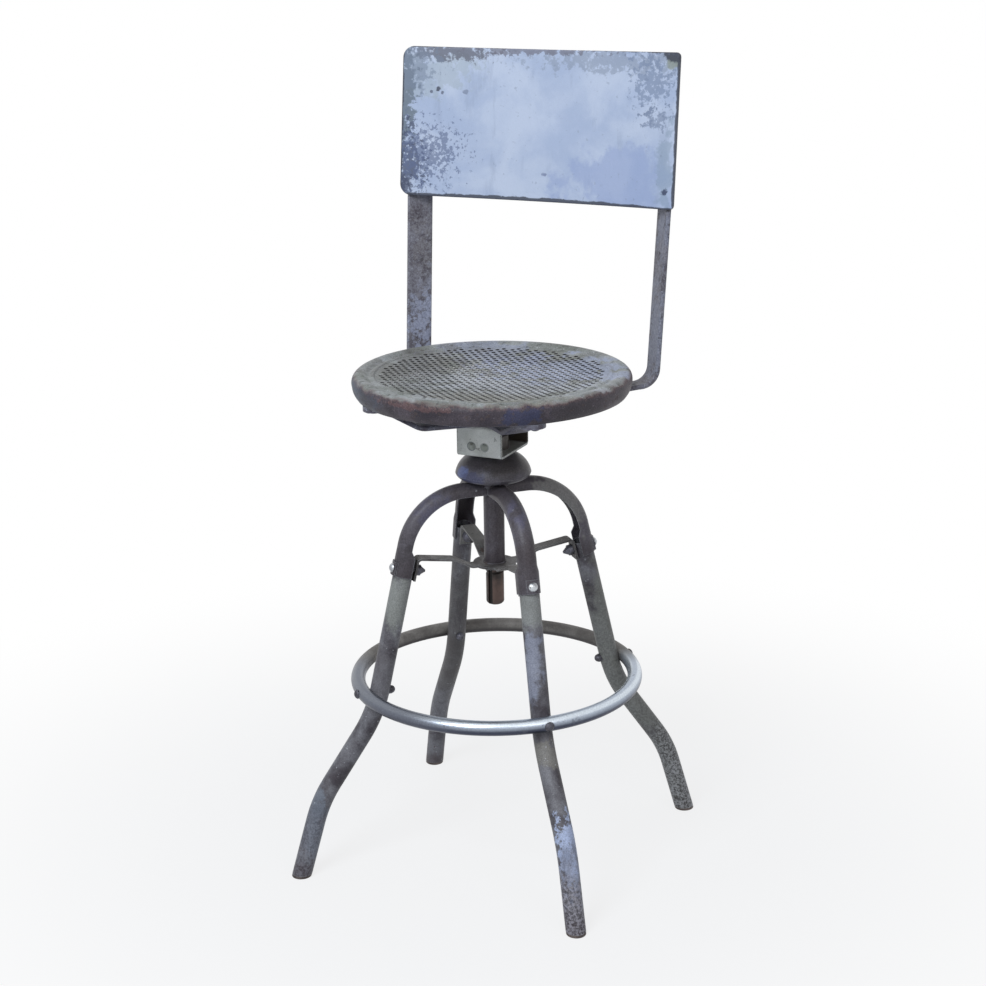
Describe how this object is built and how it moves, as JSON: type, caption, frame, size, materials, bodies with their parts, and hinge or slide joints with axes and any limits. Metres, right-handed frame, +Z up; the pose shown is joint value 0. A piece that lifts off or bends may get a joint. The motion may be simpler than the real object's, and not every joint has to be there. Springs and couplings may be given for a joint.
{
  "type": "machinist stool",
  "caption": "Steel stool with a round dished seat, a curved back panel and a foot ring; the seat swivels and a round collar on a keyed screw spindle sets its height.",
  "frame": {"origin": "on the floor under the spindle axis, at the middle of the four feet", "axes": "+Z up along the spindle; the sitter faces -Y and the backrest stands at +Y; +X is to the right as seen from the front"},
  "size_m": [0.4168, 0.4168, 1.0435],
  "materials": {
    "worn_dark_paint": "worn dark grey enamel with bare patches",
    "bright_steel": "bright zinc and bare steel",
    "box_paint": "pale grey green paint, worn",
    "panel_paint": "pale blue grey paint with dark worn edges",
    "seat_paint": "grey and brown worn enamel",
    "ring_steel": "rubbed bare steel",
    "spindle_steel": "oiled reddish brown steel"
  },
  "bodies": {
    "base": {"leg_front_left": "worn_dark_paint", "leg_front_right": "worn_dark_paint", "leg_rear_left": "worn_dark_paint", "leg_rear_right": "worn_dark_paint", "arm_front_left": "worn_dark_paint", "arm_front_right": "worn_dark_paint", "arm_rear_left": "worn_dark_paint", "arm_rear_right": "worn_dark_paint", "foot_glides": "bright_steel", "crown_hub": "worn_dark_paint", "guide_sleeve": "worn_dark_paint", "guide_key": "bright_steel", "brace_spider": "worn_dark_paint", "foot_ring": "ring_steel", "arm_bolts": "bright_steel", "arm_bolt_saddles": "bright_steel", "arm_cap_nuts": "bright_steel", "ring_bolts": "bright_steel", "ring_cap_nuts": "bright_steel", "thrust_washer": "bright_steel"},
    "collar": {"lifting_collar": "worn_dark_paint"},
    "spindle": {"spindle": "spindle_steel", "swivel_race": "bright_steel", "nut_washer": "bright_steel", "castle_nut": "bright_steel", "cotter_pin": "bright_steel"},
    "seat": {"box_bracket": "box_paint", "bearing_housing": "worn_dark_paint", "box_rivets": "box_paint", "cross_bar_right": "worn_dark_paint", "cross_bar_left": "worn_dark_paint", "bar_bolts": "bright_steel", "bar_nuts": "bright_steel", "bar_spacer": "bright_steel", "seat_pan": "seat_paint", "seat_bolts": "bright_steel", "seat_nuts": "bright_steel", "back_panel": "panel_paint", "panel_clip_right": "worn_dark_paint", "panel_clip_left": "worn_dark_paint", "panel_bolts": "bright_steel", "panel_nuts": "bright_steel"}
  },
  "joints": [
    {"name": "collar_turn", "type": "hinge", "parent": "base", "child": "collar", "pos_m": [0, 0, 0.53], "axis": [0, 0, 1], "range_deg": [0, 6236.22]},
    {"name": "spindle_rise", "type": "slide", "parent": "base", "child": "spindle", "axis": [0, 0, 1], "range_m": [0, 0.11]},
    {"name": "seat_swivel", "type": "hinge", "parent": "spindle", "child": "seat", "pos_m": [0, 0, 0.56], "axis": [0, 0, 1], "continuous": true}
  ],
  "couplings": [
    {"joint": "spindle_rise", "follows": "collar_turn", "m_per_rad": 0.0010106}
  ]
}
